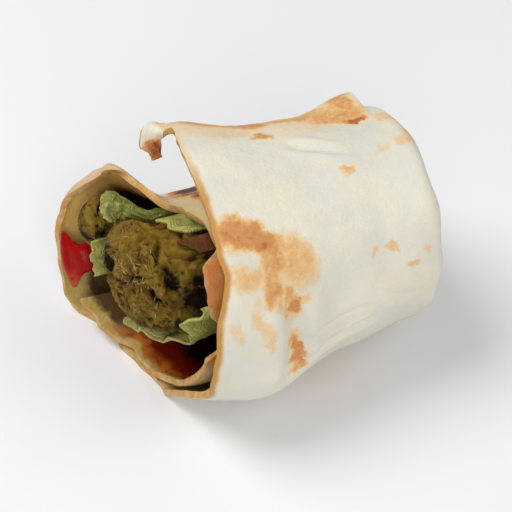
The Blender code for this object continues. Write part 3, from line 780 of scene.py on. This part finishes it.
MOUTH_X, NECK_X = (-97.0, -86.0), (-62.0, -46.0)  # mouth to neck, and neck to inside
CHUNK_END, LEAF_END = -12.0, -22.0
NOSE_ROWS_SHARE = 0.72  # the rounded nose's share of a lump's rings
LUMP_SPREAD, LUMP_GRAIN, BACK_POWER, BODY_POWER = 14.0, 11.0, 8.0, 2.0
# A lump's relief is torn clumps with crumbs on them and fine threads along X, swirled by
# eddies; these sizes and strays are shares of a clump's size.
EDDY_SIZE, EDDY_REACH, EDDY_SHIFT = 1.3, 1.1, 5.0
CRUMB_SIZE, CRUMB_STRAY, CRUMB_SHARE, THREAD_STRAY = 0.38, 1.4, 0.5, 0.8
BLUNT_END = 10.0  # the relief fades over the last tenth of a lump
CHUNK_Y, CHUNK_Z = -3.5, 5.3
DEEP_Y, DEEP_Z = -5.5, 0.5
CHUNK = {
    "sections": ((CHUNK_Y + 0.5, CHUNK_Z, 17.2, 15.6, 0.0), (CHUNK_Y - 2.4, CHUNK_Z - 3.0, 15.2, 14.4, 0.0),
                 (DEEP_Y, DEEP_Z, 19.8, 18.6, 0.0)),
    "front": -102.5, "back": CHUNK_END, "nose": 11.0, "lump": 0.10, "seed": 3.0,
    "clumps": (5.2, 2.9), "fibres": (1.25, 1.15), "grid": (240, 170),
}
SPOT_WANDER, SPOT_CORE = 9.0, 0.45  # how far the edges of spots stray; the fully coloured share
STRAND_COUNT, STRAND_SEED, STRAND_STEPS = 80, 12, 7
STRAND_MIDDLE, STRAND_REACH = (0.44, 2.15), (0.13, 0.50)  # travel and heading on the chunk
STRAND_LENGTH, STRAND_WIDTH, STRAND_CURL = (1.6, 3.6), (0.07, 0.16), (-0.35, 0.35)
STRAND_LIFT = (0.15, 0.45)  # off the meat at its ends, and how much more half way
FACE_RUN, FACE_RADIUS, FACE_EDGE = 24.0, 16.0, 0.68  # of the torn face that the strands lie on
# The darkest colour below is painted shade in the meat's crevices and hollows.
MEAT_SHADE_DARK, OLIVE_BROWN, OCHRE = (0.008, 0.003, 0.001), (0.115, 0.055, 0.007), (0.275, 0.160, 0.018)
MASALA_GREEN, MEAT_RED, FIBRE_PALE = (0.15, 0.140, 0.015), (0.13, 0.040, 0.010), (0.42, 0.27, 0.095)
HOLLOW_SHADE_SPOTS = (
    # from the tucked end and the axis, and radius: painted shade in the torn face's hollows, nearly black
    ((-102.2, -0.6, 9.6), 4.8), ((-101.9, 4.2, 8.6), 4.2), ((-82.7, -19.5, 7.0), 6.8),
    ((-88.0, -19.0, -1.5), 4.4), ((-102.8, -9.5, 2.8), 3.2), ((-103.0, 2.0, -6.0), 3.4),
)
# Painted light over the chunk's top, again as places and radii.
PAINTED_LIGHT_SPOTS = (((-95.0, -2.1, 19.5), 8.5), ((-88.5, -1.5, 19.0), 6.0), ((-85.0, -9.2, 16.5), 6.5))


def section_at(sections, x, mouth_x=MOUTH_X):
    """The section numbers at a place on X, eased between the mouth, the neck and the inside."""
    mouth, neck, inside = sections
    first, second = smooth_step(*mouth_x, x), smooth_step(*NECK_X, x)
    return [a + (b - a) * first + (c - b) * second for a, b, c in zip(mouth, neck, inside)]


def eddies(place, shift):
    """A smooth vector that wanders from place to place."""
    shifts = (shift, shift + 31.0, shift + 67.0)
    return Vector([noise.noise(place + Vector((apart, shift, -apart))) for apart in shifts])


def lump_place(shape, travel, heading, lift=0.0):
    """A point on a lump and its relief; travel runs from 0 at the nose to 1, heading goes round."""
    nose_end, seed = shape["front"] + shape["nose"], shape["seed"]
    if travel < NOSE_ROWS_SHARE:
        turn = travel / NOSE_ROWS_SHARE * math.pi / 2.0
        x, share = shape["front"] + shape["nose"] * (1.0 - math.cos(turn)), math.sin(turn)
    else:
        body = (travel - NOSE_ROWS_SHARE) / (1.0 - NOSE_ROWS_SHARE)
        x = nose_end + (shape["back"] - nose_end) * body ** BODY_POWER
        share = math.sqrt(max(0.0, 1.0 - body ** BACK_POWER))
    y0, z0, half_width, half_height, tilt = section_at(shape["sections"], x, shape.get("mouth", MOUTH_X))
    cosine, sine = math.cos(heading), math.sin(heading)
    spot = Vector((x, cosine * LUMP_SPREAD, sine * LUMP_SPREAD)) / LUMP_GRAIN
    swell = share * (1.0 + shape["lump"] * noise.noise(spot + Vector((seed, seed * 0.7, -seed))))
    out_y, out_z, turn = cosine * half_width * swell, sine * half_height * swell, math.radians(tilt)
    place = Vector((x, y0 + out_y * math.cos(turn) - out_z * math.sin(turn),
                    z0 + out_y * math.sin(turn) + out_z * math.cos(turn)))
    (clump, clump_height), (fibre, fibre_height) = shape["clumps"], shape["fibres"]
    warp = eddies(place / (clump * EDDY_SIZE), EDDY_SHIFT) * (clump * EDDY_REACH)
    knots = 0.5 - abs(noise.noise((place + warp) / clump + Vector((0.0, seed, 0.0))))
    threads = Vector((place.x * 1.2, place.y * 0.35 + place.z * 0.15, place.z)) + warp * THREAD_STRAY
    threads = 0.45 - abs(noise.noise(threads / fibre + Vector((seed, 0.0, 9.0))))
    crumbs = (place + warp * CRUMB_STRAY) / (clump * CRUMB_SIZE) + Vector((seed, 0.0, 2.0))
    crumbs = 0.5 - abs(noise.noise(crumbs))
    relief = clump_height * (knots - 0.2 + CRUMB_SHARE * (crumbs - 0.25)) + fibre_height * (threads - 0.2)
    outward = Vector((x - nose_end, place.y - y0, place.z - z0))
    if x > nose_end:
        outward.x = 0.0
    outward = outward.normalized() if outward.length > 1e-6 else Vector((-1.0, 0.0, 0.0))
    return place + outward * (relief * min(1.0, (1.0 - travel) * BLUNT_END) + lift), relief


def shape_lump(shape):
    """A lump's mesh; each point keeps how far it stands out, for the painted shade of its crevices and the
    paleness of its ridges.
    """
    mesh_tool = bmesh.new()
    columns, rings = shape["grid"]
    bmesh.ops.create_uvsphere(mesh_tool, u_segments=columns, v_segments=rings, radius=1.0)
    height = mesh_tool.verts.layers.float.new("height")
    flat = mesh_tool.verts.layers.float_vector.new("leaf")
    reach = shape["clumps"][1] + shape["fibres"][1]
    for vertex in mesh_tool.verts:
        travel = math.acos(max(-1.0, min(1.0, vertex.co.z))) / math.pi
        heading = math.atan2(vertex.co.x, vertex.co.y)
        vertex.co, relief = lump_place(shape, travel, heading)
        vertex[height] = 0.5 + relief / reach
        vertex[flat] = Vector((vertex.co.y, vertex.co.x - shape["front"], vertex.co.z)) * MM
    return mesh_tool


def meat_fibres():
    """Node group: grilled, marinated meat; Height is 0 in the crevices, which get painted shade, and 1 on
    the ridges.
    """
    group, inside = new_group("marinated_meat", ["Height", "Green"],
                              [("Colour", "Color"), ("Roughness", "Float"), ("Relief", "Float")])
    place = spot_place(group)
    broad = patches(group, place, (6.5, 5.0, 0.6), 0.40, 0.60)
    green = times(group, patches(group, place, (4.0, 5.0, 0.65), 0.46, 0.60), inside["Green"])
    ruddy = patches(group, place, (3.2, 4.0, 0.6), 0.56, 0.68, 0.0, 0.7)
    fine = cloud(group, place, 0.9, 5.0, 0.75)
    high = plus(group, inside["Height"], times(group, fine, 0.6))
    sunk = plus(group, inside["Height"], times(group, cloud(group, place, 3.0, 5.0, 0.7), 0.7))
    colour = stained(group, OLIVE_BROWN, (broad, OCHRE), (green, MASALA_GREEN), (ruddy, MEAT_RED),
                     (spread(group, high, 0.98, 1.25, 0.0, 0.6), FIBRE_PALE),
                     (spread(group, sunk, 0.98, 0.62), MEAT_SHADE_DARK))
    rough = spread(group, fine, 0.3, 0.7, 0.32, 0.6)
    relief = plus(group, fine, times(group, cloud(group, place, 0.4, 2.0), 0.5))
    return puts_out(group, Colour=colour, Roughness=rough, Relief=relief)


def near_spots(tree, place, spots):
    """1 near any of a list of places, ragged and easing out towards their radius."""
    ragged = wander(tree, place, (3.5, 5.0, 0.7), SPOT_WANDER)
    masks = []
    for (x, y, z), radius in spots:
        middle = (Vector((x, y, z + AXIS_HEIGHT)) - CENTRE) * MM
        gap = plus(tree, vectors(tree, "DISTANCE", place, middle, output="Value"), ragged)
        masks.append(deep(tree, gap, radius, radius * SPOT_CORE))
    return most_of(tree, *masks)


def meat_finish(name, meat, green, painted_shade_spots, painted_light_spots=()):
    """Moist grilled meat, with a share of green masala from 0 to 1, painted light on the bright spots and
    painted shade on the dark ones.
    """
    finish, tree, surface, place = new_finish(name)
    look = add_node(tree, "Group", {"Green": green}, node_tree=meat)
    plug(tree, look.inputs["Height"], stored(tree, "height", "Fac"))
    colour = look.outputs["Colour"]
    # Painted light on the chunk's top, and painted shade in its hollows.
    if painted_light_spots:
        bright = times(tree, near_spots(tree, place, painted_light_spots), 0.6)
        colour = blend_colour(tree, bright, colour, OCHRE)
    colour = blend_colour(tree, near_spots(tree, place, painted_shade_spots), colour, MEAT_SHADE_DARK)
    finish_off(tree, surface, colour, look.outputs["Roughness"], 0.09, look.outputs["Relief"], 0.5)
    return finish


meat = meat_fibres()
grilled_chicken = meat_finish("grilled_chicken", meat, 0.45, HOLLOW_SHADE_SPOTS, PAINTED_LIGHT_SPOTS)
chicken_chunk = put_in_place("chicken_piece_large", shape_lump(CHUNK), [grilled_chicken])
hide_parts("chicken_chunk")


def lay_strand(mesh_tool, places, width):
    """One tapered strand through a list of places."""
    made = bmesh.ops.create_uvsphere(mesh_tool, u_segments=6, v_segments=10, radius=1.0)["verts"]
    for vertex in made:
        position = (vertex.co.z * 0.5 + 0.5) * (len(places) - 1)
        index = min(int(position), len(places) - 2)
        middle = places[index].lerp(places[index + 1], position - index)
        ahead = (places[index + 1] - places[index]).normalized()
        aside = ahead.cross(Vector((1.0, 0.2, 0.1))).normalized()
        vertex.co = middle + (aside * vertex.co.x + ahead.cross(aside) * vertex.co.y) * width


def scatter_strands(shape, count, seed, middle, reach):
    """Strands of meat pulled loose over the middle of a lump's torn face."""
    draw = random.Random(seed)
    mesh_tool = bmesh.new()
    for _ in range(count):
        travel = middle[0] + draw.gauss(0.0, reach[0])
        heading = middle[1] + draw.gauss(0.0, reach[1])
        travel = min(FACE_EDGE, abs(travel) + 0.02)
        direction, curl = draw.uniform(0.0, 2.0 * math.pi), draw.uniform(*STRAND_CURL)
        length, width = draw.uniform(*STRAND_LENGTH), draw.uniform(*STRAND_WIDTH)
        radius = max(4.0, math.sin(travel / NOSE_ROWS_SHARE * math.pi / 2.0) * FACE_RADIUS)
        places = []
        for step in range(STRAND_STEPS):
            lift = STRAND_LIFT[0] + STRAND_LIFT[1] * math.sin(math.pi * step / (STRAND_STEPS - 1))
            places.append(lump_place(shape, abs(travel), heading, lift)[0])
            travel += math.cos(direction) * length / STRAND_STEPS / FACE_RUN * NOSE_ROWS_SHARE
            heading += math.sin(direction) * length / STRAND_STEPS / radius
            direction += curl
        lay_strand(mesh_tool, places, width)
    return mesh_tool


fibre_finish, tree, surface, place = new_finish("loose_chicken_fibre")
tint = patches(tree, place, (4.0, 4.0), 0.38, 0.62)
plug(tree, surface.inputs["Base Color"], blend_colour(tree, tint, OLIVE_BROWN, FIBRE_PALE))
surface.inputs["Roughness"].default_value = 0.5
strands = scatter_strands(CHUNK, STRAND_COUNT, STRAND_SEED, STRAND_MIDDLE, STRAND_REACH)
chicken_strands = put_in_place("chicken_strands", strands, [fibre_finish])

# ---------------------------------------------------------------- the smaller piece of chicken
# A smaller torn piece of the same chicken, greener with masala, pressed against the back wall.

SIDE = {
    "sections": ((25.0, 1.5, 6.0, 8.4, 0.0), (16.4, -2.0, 3.6, 5.4, 0.0), (23.6, 1.5, 5.0, 9.6, 0.0)),
    "front": -104.0, "back": LEAF_END, "nose": 6.0, "lump": 0.14, "seed": 8.0,
    "clumps": (4.0, 1.3), "fibres": (1.4, 0.7), "grid": (90, 70),
}
# Painted shade in the small piece's hollows.
SIDE_SHADE_SPOTS = (((-103.5, 21.7, 0.0), 3.4), ((-99.5, 18.4, 3.0), 2.8), ((-101.0, 28.0, 6.5), 3.0))
green_chicken = meat_finish("green_chicken", meat, 0.5, SIDE_SHADE_SPOTS)
chicken_side = put_in_place("chicken_piece_small", shape_lump(SIDE), [green_chicken])
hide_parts("chicken_side")

# ---------------------------------------------------------------- the tomato wedge
# A wedge of ripe tomato, its skin against the bread and its wet cut flesh towards the mouth.

TOMATO = {
    "sections": ((28.9, -14.4, 2.7, 10.2, -27.0), (25.5, -12.0, 2.0, 4.5, -33.0),
                 (22.0, -14.5, 3.4, 6.0, -33.0)),
    "mouth": (-108.4, -104.6), "front": -109.8, "back": LEAF_END, "nose": 3.0, "lump": 0.05, "seed": 5.0,
    "clumps": (6.0, 0.35), "fibres": (2.0, 0.12), "grid": (72, 60),
}
TOMATO_RED, TOMATO_FLESH = (0.30, 0.002, 0.0005), (0.42, 0.055, 0.003)
TOMATO_DEEP = (0.16, 0.0015, 0.0005)
FLESH_BELOW = (23.5, 15.5)  # heights above the table where the flesh starts to show, and is full
tomato_finish, tree, surface, place = new_finish("ripe_tomato")
height = add_node(tree, "SeparateXYZ", {"Vector": place}).outputs["Z"]
level = plus(tree, height, times(tree, cloud(tree, place, 4.0, 4.0), 0.010))
veins = patches(tree, place, (2.0, 3.0), 0.55, 0.7, 0.0, 0.6)
colour = stained(tree, TOMATO_RED, (deep(tree, level, *FLESH_BELOW), TOMATO_FLESH), (veins, TOMATO_DEEP))
finish_off(tree, surface, colour, 0.26, 0.14, cloud(tree, place, 1.2, 3.0), 0.15)
tomato = put_in_place("tomato_wedge", shape_lump(TOMATO), [tomato_finish])
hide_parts("tomato")

# ---------------------------------------------------------------- the lettuce and the onion
# Torn strips of soft lettuce lie between the chicken and the bread, crumpled, with frilled pale
# edges and fine veins; one more is crushed to a wad behind the chicken.  One strip of red onion,
# browned by the sauce, lies on the chicken.

LEAF_PALE, LEAF_GREEN, LEAF_DARK = (0.47, 0.44, 0.125), (0.205, 0.24, 0.036), (0.072, 0.080, 0.008)
ONION_PURPLE, ONION_BROWN = (0.13, 0.030, 0.010), (0.10, 0.044, 0.007)
FRILL_FADE, FRILL_SLIP, FRILL_TIP = 4.0, 3.0, 0.6
LEAF_ROW_POWER = 1.7  # crowds a leaf's rows towards its torn edge


def shape_leaf(sections, front, frill, waves, crumple, ragged, segments, seed):
    """A leaf that runs along X from its torn edge; each point keeps its place on the flat leaf."""
    mesh_tool = bmesh.new()
    spot = mesh_tool.verts.layers.float_vector.new("leaf")
    bmesh.ops.create_grid(mesh_tool, x_segments=segments[0], y_segments=segments[1], size=0.5)
    shift = Vector((seed * 3.1, seed, -seed))
    for vertex in mesh_tool.verts:
        u, v = vertex.co.x + 0.5, vertex.co.y + 0.5
        edge = along(front, u)
        edge += ragged * noise.noise(Vector((u * waves * 2.3, seed, 0.0)))
        edge += 0.5 * ragged * noise.noise(Vector((u * waves * 6.0, seed, 5.0)))
        depth = v ** LEAF_ROW_POWER
        x = edge + (LEAF_END - edge) * depth
        y0, z0, radius_y, radius_z, start, end = section_at(sections, x)
        turn = math.radians(start + (end - start) * u)
        spread_mm = math.radians(end - start) * radius_y * u
        wave = frill * (1.0 - depth) ** FRILL_FADE
        wave *= math.sin(u * waves * 2.0 * math.pi + depth * FRILL_SLIP)
        fold = noise.noise(Vector((spread_mm / 4.5, x / 7.0, seed)) + shift)
        fold += 0.5 * noise.noise(Vector((spread_mm / 2.0, x / 3.5, seed + 3.0)))
        wave += crumple * (1.0 - depth) ** 3 * fold
        vertex.co = Vector((x + FRILL_TIP * wave, y0 + (radius_y + wave) * math.cos(turn),
                            z0 + (radius_z + wave) * math.sin(turn)))
        vertex[spot] = Vector((spread_mm, x - edge, seed * 10.0)) * MM
    return mesh_tool


def leaf_finish(name, pale_edge, green_share):
    """Thin moist lettuce: pale by its torn edge and veins, darker green between them."""
    finish, tree, surface, _ = new_finish(name)
    flat = stored(tree, "leaf")
    from_edge = add_node(tree, "SeparateXYZ", {"Vector": flat}).outputs["Y"]
    blotch = patches(tree, flat, (6.0, 4.0), 0.35, 0.68)
    ragged = plus(tree, from_edge, wander(tree, flat, (3.0, 4.0), 6.0))
    rim = times(tree, deep(tree, ragged, pale_edge, 0.0), 0.85)
    swirl = add_node(tree, "TexNoise", {"Vector": flat, "Scale": 250.0, "Detail": 2.0}).outputs["Color"]
    warped = vectors(tree, "MULTIPLY_ADD", flat, swirl, (0.002, 0.002, 0.002))
    cells = add_node(tree, "TexVoronoi", {"Vector": warped, "Scale": 240.0}, feature="DISTANCE_TO_EDGE")
    vein = spread(tree, cells.outputs["Distance"], 0.09, 0.0)
    colour = stained(tree, LEAF_GREEN, (blotch, LEAF_DARK), (1.0 - green_share, LEAF_PALE),
                     (rim, LEAF_PALE), (times(tree, vein, 0.45), LEAF_PALE))
    surface.inputs["Subsurface Weight"].default_value = 0.15
    surface.inputs["Subsurface Radius"].default_value = (0.4, 0.8, 0.1)
    surface.inputs["Subsurface Scale"].default_value = 1.5 * MM
    height = maths(tree, "SUBTRACT", cloud(tree, flat, 1.6, 3.0), times(tree, vein, 0.8))
    finish_off(tree, surface, colour, 0.42, 0.28, height, 0.3)
    return finish


LEAVES = (
    # node, thickness, finish's name, pale edge and green share; then the words of shape_leaf
    ("lettuce_fold", 0.9, ("fold_leaf", 5.0, 0.60),
     ((CHUNK_Y, CHUNK_Z, 18.0, 16.8, 70.0, 90.0), (CHUNK_Y, CHUNK_Z - 1.4, 16.2, 15.4, 70.0, 100.0),
      (DEEP_Y, DEEP_Z, 22.6, 21.4, 74.0, 106.0)),
     ((0.0, -87.0), (0.5, -85.0), (1.0, -80.0)), 0.5, 1.0, 0.7, 1.0, (60, 50), 2.0),
    ("lettuce_sliver", 1.0, ("sliver_leaf", 3.5, 0.75),
     ((CHUNK_Y, CHUNK_Z, 20.6, 20.0, 320.0, 350.0), (CHUNK_Y, CHUNK_Z, 17.2, 17.2, 312.0, 326.0),
      (DEEP_Y, DEEP_Z, 24.0, 22.8, 314.0, 330.0)),
     ((0.0, -104.0), (1.0, -103.0)), 0.6, 1.2, 1.0, 1.2, (50, 50), 3.0),
    ("lettuce_bed", 0.8, ("bed_leaf", 6.5, 0.60),
     ((CHUNK_Y, CHUNK_Z - 0.6, 20.4, 20.2, 176.0, 292.0),
      (CHUNK_Y - 1.0, CHUNK_Z - 1.4, 20.0, 19.8, 172.0, 302.0), (DEEP_Y, DEEP_Z, 22.6, 21.4, 172.0, 302.0)),
     ((0.0, -83.0), (0.15, -88.0), (0.32, -84.0), (0.5, -89.5), (0.66, -95.0), (0.85, -99.0), (1.0, -97.0)),
     1.4, 5.5, 1.2, 1.0, (190, 60), 4.0),
)
ONION = (
    ((CHUNK_Y, CHUNK_Z, 17.2, 15.9, 98.0, 105.0), (CHUNK_Y, CHUNK_Z - 1.4, 16.4, 15.6, 108.0, 126.0),
     (DEEP_Y, DEEP_Z, 22.4, 21.2, 114.0, 138.0)),
    ((0.0, -84.0), (1.0, -79.0)), 0.3, 1.0, 0.5, 0.8, (40, 40), 6.0,
)


def add_leaf(node, thickness, finish, *shape):
    """Shapes a leaf, thickens it and lets it stand for its node."""
    piece = put_in_place(node + "_leaf", shape_leaf(*shape), [finish])
    body = piece.modifiers.new("Thickness", "SOLIDIFY")
    body.thickness = thickness * MM
    body.offset = 0.0
    body.use_even_offset = False
    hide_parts(node)
    return piece


CROWN = {
    "sections": ((16.2, 14.4, 5.0, 5.4, 20.0), (9.6, 13.2, 1.5, 1.8, 30.0), (8.0, 20.5, 3.2, 1.6, -38.0)),
    "front": -99.0, "back": LEAF_END, "nose": 5.0, "lump": 0.16, "seed": 1.0,
    "clumps": (3.2, 1.7), "fibres": (1.2, 0.5), "grid": (110, 90),
}
crown_leaf = leaf_finish("crown_leaf", 2.0, 0.85)
lettuce_crown = put_in_place("lettuce_crown_leaf", shape_lump(CROWN), [crown_leaf])
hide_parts("lettuce_crown")

for node, thickness, finish_words, *shape in LEAVES:
    leaf_piece = add_leaf(node, thickness, leaf_finish(*finish_words), *shape)

onion_finish, tree, surface, place = new_finish("browned_onion")
colour = blend_colour(tree, patches(tree, place, (3.0, 4.0), 0.4, 0.6), ONION_PURPLE, ONION_BROWN)
finish_off(tree, surface, colour, 0.4, 0.25, cloud(tree, place, 1.5, 3.0), 0.3)
onion_strip = add_leaf("onion_strip", 1.3, onion_finish, *ONION)
